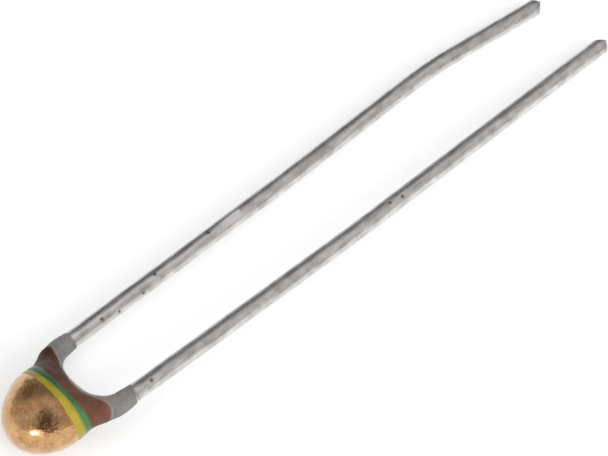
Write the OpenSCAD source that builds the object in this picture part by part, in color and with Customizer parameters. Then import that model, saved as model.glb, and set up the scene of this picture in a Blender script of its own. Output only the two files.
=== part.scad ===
// Small bead-shaped NTC thermistor with two radial leads, dip coated in grey lacquer and
// ringed with four colour coats. It lies as it comes to rest: on its body and both lead tips.
// Millimetres. +X runs along the leads to their tips, +Y to the left lead, +Z up, and the
// origin is under the middle of the bounding box, on the surface that the part lies on.
//
// Everything is first built in the body's own frame, with its origin in the middle of the
// body and X along its axis, and is then tipped by rest_tilt and set down by at_rest().

/* [Leads] */
// Diameter of the tinned wire
wire_d = 0.6; // [0.5:0.05:0.7]
// Distance between the two leads' axes where they leave the coat
lead_pitch = 3.23; // [2.9:0.01:3.6]
// From the middle of the body to the tip of the right lead
right_reach = 23.7; // [20:0.1:30]
// From the middle of the body to the tip of the left lead
left_reach = 23.2; // [20:0.1:30]
// Angle between each soldered end and the body's axis, seen from above
splay = 37; // [30:1:45]
// Radius of the root bend, on the wire's axis
root_bend_r = 0.95; // [0.7:0.05:1.2]
// From the middle of the body to the outer end of the left root bend
left_root_x = 1.47; // [1.4:0.01:1.7]
// The same for the right root bend
right_root_x = 1.37; // [1.3:0.01:1.6]
// Distance of each wire's soldered end from the body's axis
inner_end_y = 0.3; // [0.15:0.01:0.35]

/* [Right lead's shape] */
// Outward heading where the lead leaves the coat
right_toe = 2.2; // [-3:0.1:3]
// Length of the straight run up to the slight bow
right_first_run = 8.1; // [4:0.1:12]
// Turn of the bow, outward positive
right_bow = -1.3; // [-3:0.1:3]
// Radius of the bow in either lead
bow_r = 150; // [60:1:200]

/* [Left lead's shape] */
// Outward heading where the lead leaves the coat
left_toe = -1.6; // [-3:0.1:3]
// Length of the straight run up to the slight bow
left_first_run = 8.6; // [4:0.1:9]
// Turn of the bow, outward positive
left_bow = 1.1; // [-3:0.1:3]
// Length of the straight run between the bow and the kink
left_second_run = 4.3; // [1:0.1:5]
// Turn of the kink, outward positive
left_kink = -7.6; // [-15:0.1:-2]
// Radius of the kink
kink_r = 16.5; // [5:0.5:20]

/* [Cut ends] */
// Angle of the wedge's outer flank, from square to the wire
outer_flank = 34; // [10:1:50]
// Angle of the wedge's inner flank, from square to the wire
inner_flank = 43; // [10:1:50]

/* [Chip] */
// Length of the chip along the body
chip_l = 1.6; // [1.4:0.05:1.65]
// Width of the chip across the body
chip_w = 1.7; // [1.5:0.05:1.75]
// Thickness of the ceramic
chip_t = 0.25; // [0.2:0.01:0.4]
// From the middle of the body to the middle of the chip
chip_x = -0.2; // [-0.25:0.01:-0.1]
// Thickness of the silver on each face
electrode_t = 0.04; // [0.03:0.01:0.06]
// Solder between the silver and the wire
solder_film = 0.02; // [0.015:0.005:0.05]
// Length of wire that the solder holds
solder_l = 0.4; // [0.2:0.05:0.5]
// Thickness of the solder round the wire
solder_wall = 0.06; // [0.04:0.01:0.1]

/* [Lacquered body] */
// From the widest section to the nose
nose_l = 1.62; // [1.5:0.01:1.9]
// Width across the leads
body_w = 2.54; // [2.4:0.02:2.9]
// Thickness
body_t = 2.22; // [2.1:0.02:2.5]
// From the widest section to the shoulder between the leads
shoulder_l = 0.64; // [0.6:0.01:0.8]
// Lacquer round the wire at the coat's end
coat_end_wall = 0.04; // [0.03:0.01:0.08]
// Extra thickness that the lacquer gains along the lead down to the body
coat_swell = 0.13; // [0.05:0.01:0.2]
// From the middle of the body to the coat's end on the left lead
left_coat_end_x = 1.9; // [1.8:0.05:2.5]
// The same on the right lead
right_coat_end_x = 1.8; // [1.7:0.05:2.5]
// How softly the lacquer runs from the body to the leads
neck_blend = 0.75; // [0.4:0.05:1]
// How softly the lacquer bridges the gap between the leads
web_blend = 1.6; // [1:0.1:2]

/* [Colour coats] */
// Thickness of one colour coat
paint_t = 0.04; // [0.03:0.01:0.05]
// Edge of the gold coat, from the middle of the body
gold_edge_x = -0.35; // [-0.5:0.01:-0.3]
// Share of the way from the gold edge to the brown edge where the yellow coat ends
yellow_share = 0.24; // [0.2:0.01:0.3]
// The same for the green coat
green_share = 0.45; // [0.35:0.01:0.5]
// How far the brown edge stays below the crotch between the leads
brown_margin = 0.07; // [0.04:0.01:0.1]
// How far the brown edge climbs up each lead
brown_climb = 0.13; // [0:0.01:0.2]
// How much further it climbs up the left lead than up the right one
brown_skew = 0.06; // [0:0.01:0.1]

/* [Hidden] */

// The left lead lies under the chip and the right one over it
LEFT = 1;
RIGHT = -1;

// Order of the colour coats, each over the one before
BROWN = 1;
GREEN = 2;
YELLOW = 3;
GOLD = 4;

// Fineness: points round the body, rings of each stretch, steps of the search for the skin,
// the step that its slope is taken over, and sides of the round pieces
around = 44;
nose_rings = 8;
yellow_rings = 2;
green_rings = 2;
brown_rings = 4;
crotch_points = 6;
fan_rings = 4;
leg_rings = 5;
root_steps = 16;
slope_step = 0.001;
wire_sides = 48;
solder_sides = 24;

// A run of wire reaches this far into a bend, and the bend is this much thicker all round,
// so that every run ends inside it
bend_grip = 0.03;
bend_excess = 0.002;

// Further than any distance from the coat's inner line to its skin, and a size larger than
// the body
search_reach = max(nose_l, body_w / 2) + coat_swell;
beyond = 2 * body_w;

wire_r = wire_d / 2;
pad_z = chip_t / 2 + electrode_t;
chip_front = chip_x + chip_l / 2;

// Height of each wire's axis from the chip's middle plane, above the body's axis at x = 0:
// the wire clears the silver even at the chip's front edge
lead_rise = (pad_z + solder_film + wire_r) / (1 - chip_front / min(left_reach, right_reach));

// Both tips end close to the chip's middle plane. The left one, which is shorter, ends a
// little lower, so that it meets the surface together with the right one.
tip_drop = (right_reach - left_reach) * (body_t / 2 + YELLOW * paint_t - wire_r) / right_reach;
left_slope = asin((lead_rise - tip_drop) / left_reach);
right_slope = asin(lead_rise / right_reach);

// ---- The leads' paths. Each lies in its own flat frame: X along the body, Y outward and
// Z towards the chip's middle plane.

function reach_of(side) = side == LEFT ? left_reach : right_reach;
function toe_of(side) = side == LEFT ? left_toe : right_toe;
function slope_of(side) = side == LEFT ? left_slope : right_slope;
function coat_end_of(side) = side == LEFT ? left_coat_end_x : right_coat_end_x;

// Runs and bends between the root and the last straight run, as [run, turn, radius]
function shape_of(side) = side == LEFT
    ? [[left_first_run, left_bow, bow_r], [left_second_run, left_kink, kink_r]]
    : [[right_first_run, right_bow, bow_r]];

function root_start(side) = [side == LEFT ? left_root_x : right_root_x, lead_pitch / 2];

function turned(v, angle) =
    [v.x * cos(angle) - v.y * sin(angle), v.x * sin(angle) + v.y * cos(angle)];
function bend_step(turn, r) = [r * sin(abs(turn)), sign(turn) * r * (1 - cos(turn))];

// Where a path stands after all of its bends, as [x, y, heading]
function walk(shape, i, at, heading) =
    i == len(shape) ? [at.x, at.y, heading]
    : let (run_l = shape[i][0],
           turn = shape[i][1],
           next = at + turned([run_l, 0] + bend_step(turn, shape[i][2]), heading))
      walk(shape, i + 1, next, heading + turn);

function last_run_start(side) = walk(shape_of(side), 0, root_start(side), toe_of(side));
function last_run(side) =
    let (start = last_run_start(side)) (reach_of(side) - start.x) / cos(start.z);
function tip_y(side) =
    let (start = last_run_start(side)) start.y + last_run(side) * sin(start.z);

// A point of the root bend, by the angle turned back from its outer end, and its heading
function root_point(side, back) =
    let (step = bend_step(-back, root_bend_r),
         at = root_start(side) + turned([-step.x, step.y], toe_of(side)))
    [at.x, at.y, toe_of(side) + back];

function root_turn(side) = splay - toe_of(side);
function root_inner(side) = root_point(side, root_turn(side));
function inner_run(side) = (root_inner(side).y - inner_end_y) / sin(splay);

// ---- The coats' skin, in the body's frame: the middle of the body at the origin, X along
// its axis and Z square to the chip. A lacquered body and two lacquered legs run softly
// into each other; the skin is where coat_gap() is zero.

function blend(a, b, r) = let (h = max(r - abs(a - b), 0) / r) min(a, b) - h * h * r / 4;

function body_gap(p) =
    let (half = [p.x > 0 ? shoulder_l : nose_l, body_w / 2, body_t / 2],
         unit = [p.x / half.x, p.y / half.y, p.z / half.z],
         slope = [unit.x / half.x, unit.y / half.y, unit.z / half.z])
    norm(unit) * (norm(unit) - 1) / norm(slope);

// Distance to a lead's axis between its soldered end and the coat's end
function lead_gap(p, side) =
    let (slope = slope_of(side),
         start = root_start(side),
         z = side * p.z + lead_rise,
         x = p.x * cos(slope) + z * sin(slope) - start.x,
         y = side * p.y - start.y,
         q = turned([x, y], -toe_of(side)),
         back = atan2(-q.x, q.y + root_bend_r),
         inner = root_inner(side),
         run = turned([inner.x - start.x - x, inner.y - start.y - y], -splay),
         past = max(run.x - inner.y / sin(splay), 0),
         flat = q.x >= 0 ? q.y
              : back <= root_turn(side) ? norm([q.x, q.y + root_bend_r]) - root_bend_r
              : norm([past, run.y]))
    norm([flat, z * cos(slope) - p.x * sin(slope)]);

// Distance to the skin of one leg, which thickens along the lead down to the body
function leg_gap(p, side) =
    let (t = max(0, min(1, 1 - p.x / coat_end_of(side))))
    lead_gap(p, side) - wire_r - coat_end_wall - coat_swell * t * t * (3 - 2 * t);

function coat_gap(p) =
    blend(body_gap(p), blend(leg_gap(p, LEFT), leg_gap(p, RIGHT), web_blend), neck_blend);

// The skin's point on the ray from a point inside, found by halving the search
function skin(from, way, low = 0, high = search_reach, steps = root_steps) =
    let (middle = (low + high) / 2)
    steps == 0 ? from + way * middle
    : coat_gap(from + way * middle) > 0 ? skin(from, way, low, middle, steps - 1)
    : skin(from, way, middle, high, steps - 1);

// Outward direction of the skin at one of its points
function outward(p) =
    let (here = coat_gap(p),
         g = [for (step = [[1, 0, 0], [0, 1, 0], [0, 0, 1]])
                 coat_gap(p + slope_step * step) - here])
    g / norm(g);

// ---- Guide rays. Every point of the skin is found along a ray from an inner line of the
// body or of a leg. The nose's rays fan out from one centre, the next ones leave the axis
// squarely, and towards the brown edge their starts spread out into both legs.

crotch_x = skin([0, 0, 0], [1, 0, 0]).x;
brown_x = crotch_x - brown_margin;
leg_y = root_inner(LEFT).y;

// Turns a vector of the left side to the given side
function sided(v, side) = [v.x, side * v.y, side * v.z];

// A point or a direction of a lead's flat frame, in the body's frame
function from_lead(v, side, rise) =
    let (s = slope_of(side))
    sided([v.x * cos(s) - v.z * sin(s), v.y, v.x * sin(s) + v.z * cos(s) - rise], side);

// The ray of the brown edge at an angle round the body, as [start, direction]
function edge_ray(angle) =
    let (c = cos(angle))
    [[brown_x + (brown_climb + brown_skew * c) * c * c, leg_y * c, -lead_rise * c],
     [0, c, sin(angle)]];

function nose_ray(angle, polar) =
    [[gold_edge_x, 0, 0],
     [-cos(polar), sin(polar) * cos(angle), sin(polar) * sin(angle)]];

function mixed(a, b, t) = a * (1 - t) + b * t;

// A ray between the gold edge and the brown edge
function body_ray(angle, t) =
    [mixed([gold_edge_x, 0, 0], edge_ray(angle)[0], t), edge_ray(angle)[1]];

function hit(ray) = skin(ray[0], ray[1] / norm(ray[1]));

// Shares of the way from the gold edge to the brown edge at which the rings lie
function shares(low, high, count) = [for (i = [1:count]) mixed(low, high, i / count)];
band_shares = concat(
    shares(0, yellow_share, yellow_rings),
    shares(yellow_share, green_share, green_rings),
    shares(green_share, 1, brown_rings));

ring_angles = [for (i = [0:around - 1]) 360 * i / around];
body_rings = concat(
    [for (r = [1:nose_rings]) [for (a = ring_angles) hit(nose_ray(a, 90 * r / nose_rings))]],
    [for (t = band_shares) [for (a = ring_angles) hit(body_ray(a, t))]]);
nose_tip = hit(nose_ray(0, 0));

// The line over the crotch, from the brown edge above the chip to the one below it
crotch_angles = [for (k = [1:crotch_points]) 90 - 180 * k / (crotch_points + 1)];
crotch = [for (a = crotch_angles) hit([[brown_x, 0, 0], [cos(a), 0, sin(a)]])];

// Rays of one leg: the first loop takes half of the brown edge and the crotch line, the
// next ones fan round the crotch up to the root bend, and the last ones follow the lead
half_around = around / 2;
leg_around = half_around + 1 + crotch_points;

function first_ray(side, j) =
    let (angle = 180 * j / half_around - 90 + (side == LEFT ? 0 : 180))
    j <= half_around ? edge_ray(angle)
    : [[brown_x, 0, 0], sided([cos(crotch_angles[j - half_around - 1]), 0,
                               sin(crotch_angles[j - half_around - 1])], side)];

// Stations along the leg from the root bend's inner end to the coat's end, by their share
function station(side, share) =
    let (arc_l = root_bend_r * root_turn(side) * PI / 180,
         start = root_start(side),
         run_l = (coat_end_of(side) - start.x) / cos(toe_of(side)),
         left_over = (1 - share) * (arc_l + run_l) - run_l)
    left_over > 0 ? root_point(side, left_over / root_bend_r * 180 / PI)
    : let (at = start - left_over * [cos(toe_of(side)), sin(toe_of(side))])
      [at.x, at.y, toe_of(side)];

function leg_ray(side, j, share) =
    let (s = station(side, share), angle = 360 * (j - half_around / 2) / leg_around)
    [from_lead([s.x, s.y, 0], side, lead_rise),
     from_lead([-sin(s.z) * cos(angle), cos(s.z) * cos(angle), sin(angle)], side, 0)];

function fan_ray(side, j, t) =
    let (a = first_ray(side, j), b = leg_ray(side, j, 0))
    [mixed(a[0], b[0], t), mixed(a[1], b[1], t)];

function leg_skin(side) = concat(
    [for (i = [1:fan_rings])
        [for (j = [0:leg_around - 1]) hit(fan_ray(side, j, i / fan_rings))]],
    [for (i = [1:leg_rings])
        [for (j = [0:leg_around - 1]) hit(leg_ray(side, j, i / leg_rings))]]);

left_leg = leg_skin(LEFT);
right_leg = leg_skin(RIGHT);

// ---- Faces

// Triangles between two loops of point numbers, the second further from the nose
function band(a, b) =
    let (n = len(a))
    [for (i = [0:n - 1]) let (j = (i + 1) % n) each [[a[i], b[i], b[j]], [a[i], b[j], a[j]]]];

function bands(loops) = [for (i = [1:len(loops) - 1]) each band(loops[i - 1], loops[i])];
function fan(tip, loop) =
    [for (i = [0:len(loop) - 1]) [tip, loop[i], loop[(i + 1) % len(loop)]]];
function flipped(faces) = [for (f = faces) [f[0], f[2], f[1]]];
function joined(lists) = [for (l = lists) each l];

// Numbers of the points in ring after ring, from the given first number on
function loops_from(first, count, size) =
    [for (r = [0:count - 1]) [for (i = [0:size - 1]) first + r * size + i]];

// ---- Resting: the lowest points of the body and of both tips lie on the surface

body_normals = [for (ring = body_rings) [for (p = ring) outward(p)]];
function painted(layers, ring_count) = concat(
    [nose_tip - [layers * paint_t, 0, 0]],
    [for (r = [0:ring_count - 1]) for (i = [0:around - 1])
        body_rings[r][i] + layers * paint_t * body_normals[r][i]]);

gold_rings = nose_rings;
yellow_last = gold_rings + yellow_rings;
green_last = yellow_last + green_rings;
brown_last = green_last + brown_rings;

rough_tilt = asin((body_t / 2 + YELLOW * paint_t - wire_r) / right_reach);
body_support = max([for (p = concat(painted(GOLD, gold_rings), painted(YELLOW, yellow_last)))
    p.z * -cos(rough_tilt) + p.x * sin(rough_tilt)]);
rest_tilt = asin((body_support - wire_r) / right_reach);

tip_end_x = right_reach * cos(rest_tilt) + wire_r * sin(rest_tilt);
nose_end_x = nose_tip.x - GOLD * paint_t;
middle_x = (tip_end_x + nose_end_x) / 2;
function side_y(side) = max(tip_y(side) + wire_r,
    max([for (ring = side == LEFT ? left_leg : right_leg) for (p = ring) side * p.y]));
middle_y = (side_y(LEFT) - side_y(RIGHT)) / 2;

module at_rest() {
    translate([-middle_x, -middle_y, body_support]) rotate([0, rest_tilt, 0]) children();
}

// ---- Leads

module on_side(side) {
    rotate([side == LEFT ? 0 : 180, 0, 0]) children();
}

module in_lead_plane(side) {
    on_side(side) translate([0, 0, -lead_rise]) rotate([0, -slope_of(side), 0]) children();
}

module run(length, past_end = 0) {
    translate([-bend_grip, 0, 0]) rotate([0, 90, 0])
        cylinder(d = wire_d, h = bend_grip + length + past_end, $fn = wire_sides);
}

module bend(turn, r) {
    mirror([0, turn < 0 ? 1 : 0, 0]) translate([0, r, 0]) rotate(-90)
        rotate_extrude(angle = abs(turn), $fn = wire_sides)
            translate([r, 0]) circle(r = wire_r + bend_excess, $fn = wire_sides);
}

module after_bend(turn, r) {
    step = bend_step(turn, r);
    translate([step.x, step.y, 0]) rotate(turn) children();
}

// The last run ends in a wedge, as side cutters leave it
module cut_run(length) {
    difference() {
        run(length);
        for (flank = [outer_flank, -inner_flank])
            translate([length, 0, 0]) rotate(flank) translate([0, -wire_d, -wire_d])
                cube(2 * wire_d);
    }
}

module bent_wire(shape, last, i = 0) {
    if (i == len(shape)) {
        cut_run(last);
    } else {
        run_l = shape[i][0];
        turn = shape[i][1];
        r = shape[i][2];
        run(run_l, bend_grip);
        translate([run_l, 0, 0]) {
            bend(turn, r);
            after_bend(turn, r) bent_wire(shape, last, i + 1);
        }
    }
}

// Places its children where the soldered run starts, with X towards the wire's end
module at_inner_run(side) {
    translate(root_start(side)) rotate(toe_of(side)) mirror([1, 0, 0])
        after_bend(-root_turn(side), root_bend_r) children();
}

module lead(side) {
    in_lead_plane(side) {
        translate(root_start(side)) rotate(toe_of(side)) {
            bent_wire(shape_of(side), last_run(side));
            mirror([1, 0, 0]) bend(-root_turn(side), root_bend_r);
        }
        at_inner_run(side) run(inner_run(side));
    }
}

module left_lead() {
    color([0.66, 0.65, 0.64]) at_rest() lead(LEFT);
}

module right_lead() {
    color([0.66, 0.65, 0.64]) at_rest() lead(RIGHT);
}

// ---- Chip

module chip() {
    translate([chip_x, 0, 0]) cube([chip_l, chip_w, chip_t], center = true);
}

module electrode(side) {
    on_side(side) translate([chip_x - chip_l / 2, -chip_w / 2, -pad_z])
        cube([chip_l, chip_w, electrode_t]);
}

// A mound of solder round the wire's end, flat where it wets the silver
module solder(side) {
    difference() {
        in_lead_plane(side) at_inner_run(side) hull()
            for (x = [inner_run(side) - solder_l, inner_run(side)]) translate([x, 0, 0]) {
                sphere(r = wire_r + solder_wall, $fn = solder_sides);
                cylinder(r = wire_r + solder_wall, h = wire_r + solder_wall, $fn = solder_sides);
            }
        lead(side);
        on_side(side) translate([-beyond / 2, -beyond / 2, -pad_z]) cube(beyond);
    }
}

module ceramic_chip() {
    color([0.25, 0.24, 0.24]) at_rest() chip();
}

module upper_electrode() {
    color([0.85, 0.85, 0.83]) at_rest() electrode(RIGHT);
}

module lower_electrode() {
    color([0.85, 0.85, 0.83]) at_rest() electrode(LEFT);
}

module upper_solder_joint() {
    color([0.75, 0.75, 0.77]) at_rest() solder(RIGHT);
}

module lower_solder_joint() {
    color([0.75, 0.75, 0.77]) at_rest() solder(LEFT);
}

// ---- Coats

// The lacquer's whole skin: the nose, the body's rings, the crotch and both legs
module lacquer_skin() {
    rings = loops_from(1, brown_last, around);
    last = rings[brown_last - 1];
    crotch_first = 1 + brown_last * around;
    left_first = crotch_first + crotch_points;
    leg_loops = fan_rings + leg_rings;
    right_first = left_first + leg_loops * leg_around;
    over = [for (k = [0:crotch_points - 1]) crotch_first + k];
    under = [for (k = [0:crotch_points - 1]) crotch_first + crotch_points - 1 - k];
    quarter = around / 4;
    left_half = [for (j = [0:half_around]) last[(j + around - quarter) % around]];
    right_half = [for (j = [0:half_around]) last[(j + quarter) % around]];
    left_loops = concat([concat(left_half, over)], loops_from(left_first, leg_loops, leg_around));
    right_loops = concat([concat(right_half, under)],
                         loops_from(right_first, leg_loops, leg_around));
    end_caps = [for (loops = [left_loops, right_loops])
        [for (j = [leg_around - 1:-1:0]) loops[leg_loops][j]]];
    polyhedron(
        points = concat([nose_tip], joined(body_rings), crotch, joined(left_leg),
                        joined(right_leg)),
        faces = concat(fan(0, rings[0]), bands(rings), bands(left_loops), bands(right_loops),
                       end_caps));
}

// One colour coat: a thin cup over the coats below it, open towards the leads
module paint_cup(layer, ring_count) {
    outer = loops_from(1, ring_count, around);
    inner_tip = 1 + ring_count * around;
    inner = loops_from(inner_tip + 1, ring_count, around);
    polyhedron(
        points = concat(painted(layer, ring_count), painted(layer - 1, ring_count)),
        faces = concat(
            fan(0, outer[0]), bands(outer),
            band(outer[ring_count - 1], inner[ring_count - 1]),
            flipped(concat(fan(inner_tip, inner[0]), bands(inner)))));
}

module grey_lacquer_coat() {
    color([0.53, 0.53, 0.53]) at_rest() difference() {
        lacquer_skin();
        lead(LEFT);
        lead(RIGHT);
        chip();
        for (side = [LEFT, RIGHT]) {
            electrode(side);
            solder(side);
        }
    }
}

module brown_coat() {
    color([0.42, 0.27, 0.22]) at_rest() paint_cup(BROWN, brown_last);
}

module green_coat() {
    color([0.22, 0.45, 0.3]) at_rest() paint_cup(GREEN, green_last);
}

module yellow_coat() {
    color([0.72, 0.64, 0.18]) at_rest() paint_cup(YELLOW, yellow_last);
}

module gold_coat() {
    color([0.68, 0.52, 0.33]) at_rest() paint_cup(GOLD, gold_rings);
}

left_lead();
right_lead();
ceramic_chip();
upper_electrode();
lower_electrode();
upper_solder_joint();
lower_solder_joint();
grey_lacquer_coat();
brown_coat();
green_coat();
yellow_coat();
gold_coat();
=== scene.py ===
"""Looks of a small colour-banded NTC thermistor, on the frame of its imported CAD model.

Sizes are millimetres in the body's own frame: the origin in the middle of the body, X along
its axis towards the leads' tips, Y to the left lead and Z square to the chip. rested() takes
points from there to the row frame, in metres.
"""

import math

import bmesh
import bpy
import numpy as np
from mathutils import Matrix, Vector


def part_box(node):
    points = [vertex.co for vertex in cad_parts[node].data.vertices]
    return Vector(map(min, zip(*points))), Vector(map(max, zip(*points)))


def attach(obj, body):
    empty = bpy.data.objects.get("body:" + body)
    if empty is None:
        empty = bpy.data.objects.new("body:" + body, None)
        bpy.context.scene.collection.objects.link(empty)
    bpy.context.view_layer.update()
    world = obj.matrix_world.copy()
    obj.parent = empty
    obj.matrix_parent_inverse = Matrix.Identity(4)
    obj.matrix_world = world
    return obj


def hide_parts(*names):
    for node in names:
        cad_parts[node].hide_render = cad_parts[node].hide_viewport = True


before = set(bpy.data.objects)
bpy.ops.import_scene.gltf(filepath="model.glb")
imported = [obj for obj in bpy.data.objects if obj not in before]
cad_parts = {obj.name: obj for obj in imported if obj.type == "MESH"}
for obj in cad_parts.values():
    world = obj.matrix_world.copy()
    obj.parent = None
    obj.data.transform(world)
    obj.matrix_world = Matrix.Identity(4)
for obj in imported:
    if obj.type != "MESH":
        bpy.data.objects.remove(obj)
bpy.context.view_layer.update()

MM = 0.001
LEFT, RIGHT = 1, -1

# ---- Sizes of the part, with angles in degrees

# The leads, bent out of the body and on to their tips
WIRE_R = 0.3
LEAD_PITCH = 3.23
SPLAY = 37.0
ROOT_BEND_R = 0.95
ROOT_BEND_X = {LEFT: 1.47, RIGHT: 1.37}
INNER_END_Y = 0.3
REACH = {LEFT: 23.2, RIGHT: 23.7}
TOE = {LEFT: -1.6, RIGHT: 2.2}
# Runs and bends past the root, as (run, turn, bend radius)
SHAPE = {LEFT: [(8.6, 1.1, 150.0), (4.3, -7.6, 16.5)], RIGHT: [(8.1, -1.3, 150.0)]}
OUTER_FLANK = 34.0
INNER_FLANK = 43.0

# The chip and what joins it to the leads
CHIP_T = 0.25
CHIP_X = -0.2
CHIP_FRONT = CHIP_X + 0.8
ELECTRODE_T = 0.04
SOLDER_FILM = 0.02

# The lacquer: nose, shoulder and legs, with the thin wall at each leg's end
NOSE_L = 1.62
BODY_W = 2.54
BODY_T = 2.22
SHOULDER_L = 0.64
END_WALL = 0.04
END_THINNING = 0.022
THINNING_L = 0.3
SWELL = 0.13
COAT_END_X = {LEFT: 1.83, RIGHT: 1.8}
COAT_END_SLANT = {LEFT: 0.0, RIGHT: -0.09}
NECK_BLEND = 0.75
WEB_BLEND = 1.6
# What makes it uneven: where lacquer gathers or lacks, how far that reaches and how much
NOSE_LEAN = 0.04
HOLLOW_AT = (0.72, 1.1, 0.3)
HOLLOW_SIZE = (0.42, 0.55, 0.6)
HOLLOW_FILL = 0.42
WEB_AT = {LEFT: (0.9, 0.6, 0.0), RIGHT: (0.85, -0.9, 0.4)}
WEB_SIZE = (0.35, 0.5, 0.7)
WEB_FILL = {LEFT: 0.06, RIGHT: -0.035}

# The colour coats, and the loop of points near the brown one's edge
PAINT_T = 0.04
GOLD_EDGE_X = -0.35
BROWN_MARGIN = 0.07
BROWN_CLIMB = 0.13
BROWN_SKEW = 0.06

LEAD_RISE = (CHIP_T / 2 + ELECTRODE_T + SOLDER_FILM + WIRE_R) / (1 - CHIP_FRONT / REACH[LEFT])

# ---- Where the body lies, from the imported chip

chip_low, chip_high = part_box("ceramic_chip")
chip_middle = (chip_low + chip_high) / (2 * MM)
rest_sin = (chip_middle.z - WIRE_R) / (REACH[RIGHT] - CHIP_X)
rest_cos = math.sqrt(1 - rest_sin ** 2)
body_place = np.array([chip_middle.x - CHIP_X * rest_cos, chip_middle.y,
                       chip_middle.z + CHIP_X * rest_sin])

TIP_DROP = (REACH[RIGHT] - REACH[LEFT]) * (BODY_T / 2 + 3 * PAINT_T - WIRE_R) / REACH[RIGHT]
SLOPE = {LEFT: math.degrees(math.asin((LEAD_RISE - TIP_DROP) / REACH[LEFT])),
         RIGHT: math.degrees(math.asin(LEAD_RISE / REACH[RIGHT]))}


def rested(p):
    """Points of the body's frame, in millimetres, as points of the row frame, in metres."""
    x = p[..., 0] * rest_cos + p[..., 2] * rest_sin
    z = p[..., 2] * rest_cos - p[..., 0] * rest_sin
    return (np.stack([x, p[..., 1], z], -1) + body_place) * MM


def turned(x, y, degrees):
    """A flat point or direction, turned about the origin."""
    c, s = math.cos(math.radians(degrees)), math.sin(math.radians(degrees))
    return x * c - y * s, x * s + y * c


def sin(degrees):
    return np.sin(np.radians(degrees))


def cos(degrees):
    return np.cos(np.radians(degrees))


def smooth(t):
    """From 0 at 0 to 1 at 1, level outside, with soft ends."""
    t = np.clip(t, 0, 1)
    return t * t * (3 - 2 * t)


# ---- The leads' paths: each in its own flat frame, X along the body and Y outward

def root_point(side, back):
    """A point of the root bend, by the angle turned back from its outer end, and its heading."""
    x, y = turned(-ROOT_BEND_R * sin(back), -ROOT_BEND_R * (1 - cos(back)), TOE[side])
    return ROOT_BEND_X[side] + x, LEAD_PITCH / 2 + y, TOE[side] + back


def root_turn(side):
    return SPLAY - TOE[side]


def root_inner(side):
    return root_point(side, root_turn(side))


def from_lead(x, y, z, side, rise):
    """A point or direction of a lead's flat frame, in the body's frame."""
    c, s = cos(SLOPE[side]), sin(SLOPE[side])
    return np.stack([x * c - z * s, side * y, side * (x * s + z * c - rise)], -1)


def lead_stations(side, spacing):
    """Stations along a lead from its soldered end to its tip: x, y and heading."""
    x, y, heading = root_inner(side)
    inner_l = (y - INNER_END_Y) / sin(SPLAY)
    out = [(x - d * cos(SPLAY), y - d * sin(SPLAY), heading)
           for d in np.arange(inner_l, 0, -spacing)]
    steps = max(2, round(math.radians(root_turn(side)) * ROOT_BEND_R / spacing))
    out += [root_point(side, root_turn(side) * (1 - k / steps)) for k in range(steps)]
    x, y, heading = ROOT_BEND_X[side], LEAD_PITCH / 2, TOE[side]
    for run, turn, radius in SHAPE[side]:
        out += [(x + d * cos(heading), y + d * sin(heading), heading)
                for d in np.arange(0, run, spacing)]
        x, y = x + run * cos(heading), y + run * sin(heading)
        steps = max(2, round(math.radians(abs(turn)) * radius / spacing))
        for k in range(steps):
            part = turn * k / steps
            dx, dy = turned(radius * sin(abs(part)), np.sign(turn) * radius * (1 - cos(part)),
                            heading)
            out.append((x + dx, y + dy, heading + part))
        dx, dy = turned(radius * sin(abs(turn)), np.sign(turn) * radius * (1 - cos(turn)), heading)
        x, y, heading = x + dx, y + dy, heading + turn
    last = (REACH[side] - x) / cos(heading)
    out += [(x + d * cos(heading), y + d * sin(heading), heading)
            for d in np.arange(0, last, spacing)]
    out.append((x + last * cos(heading), y + last * sin(heading), heading))
    return np.array(out)


# ---- The lacquer's skin: where coat_gap() is zero

def blend(a, b, reach):
    """The lower of two gaps, with a fillet where they are nearly the same."""
    h = np.maximum(reach - np.abs(a - b), 0) / reach
    return np.minimum(a, b) - h * h * reach / 4


def body_gap(p):
    """The gap to the bare body: a long half ellipsoid for the nose, a short one behind."""
    length = np.where(p[..., 0] > 0, SHOULDER_L, NOSE_L)
    half = np.stack(np.broadcast_arrays(length, BODY_W / 2, BODY_T / 2), -1)
    lean = NOSE_LEAN * smooth(-p[..., 0] / NOSE_L)
    unit = (p + lean[..., None] * np.array([0, 1, 0])) / half
    size = np.maximum(np.linalg.norm(unit, axis=-1), 1e-9)
    return size * (size - 1) / np.maximum(np.linalg.norm(unit / half, axis=-1), 1e-9)


def lead_gap(p, side):
    """The distance from the middle line of a lead."""
    slope, toe = SLOPE[side], TOE[side]
    inner_x, inner_y, _ = root_inner(side)
    z = side * p[..., 2] + LEAD_RISE
    x = p[..., 0] * cos(slope) + z * sin(slope) - ROOT_BEND_X[side]
    y = side * p[..., 1] - LEAD_PITCH / 2
    qx, qy = turned(x, y, -toe)
    back = np.degrees(np.arctan2(-qx, qy + ROOT_BEND_R))
    run_x, run_y = turned(inner_x - ROOT_BEND_X[side] - x, inner_y - LEAD_PITCH / 2 - y, -SPLAY)
    past = np.maximum(run_x - inner_y / sin(SPLAY), 0)
    bend = np.hypot(qx, qy + ROOT_BEND_R) - ROOT_BEND_R
    flat = np.where(qx >= 0, qy, np.where(back <= root_turn(side), bend, np.hypot(past, run_y)))
    return np.hypot(flat, z * cos(slope) - p[..., 0] * sin(slope))


def leg_gap(p, side):
    """The gap to the lacquer on a lead, thick at the body and thin at its end."""
    wall = END_WALL - END_THINNING * smooth(1 - (COAT_END_X[side] - p[..., 0]) / THINNING_L)
    return lead_gap(p, side) - WIRE_R - wall - SWELL * smooth(1 - p[..., 0] / COAT_END_X[side])


def nearness(p, place, size):
    """1 at a place, falling to 0 around it."""
    return np.exp(-(((p - place) / size) ** 2).sum(-1))


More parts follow.
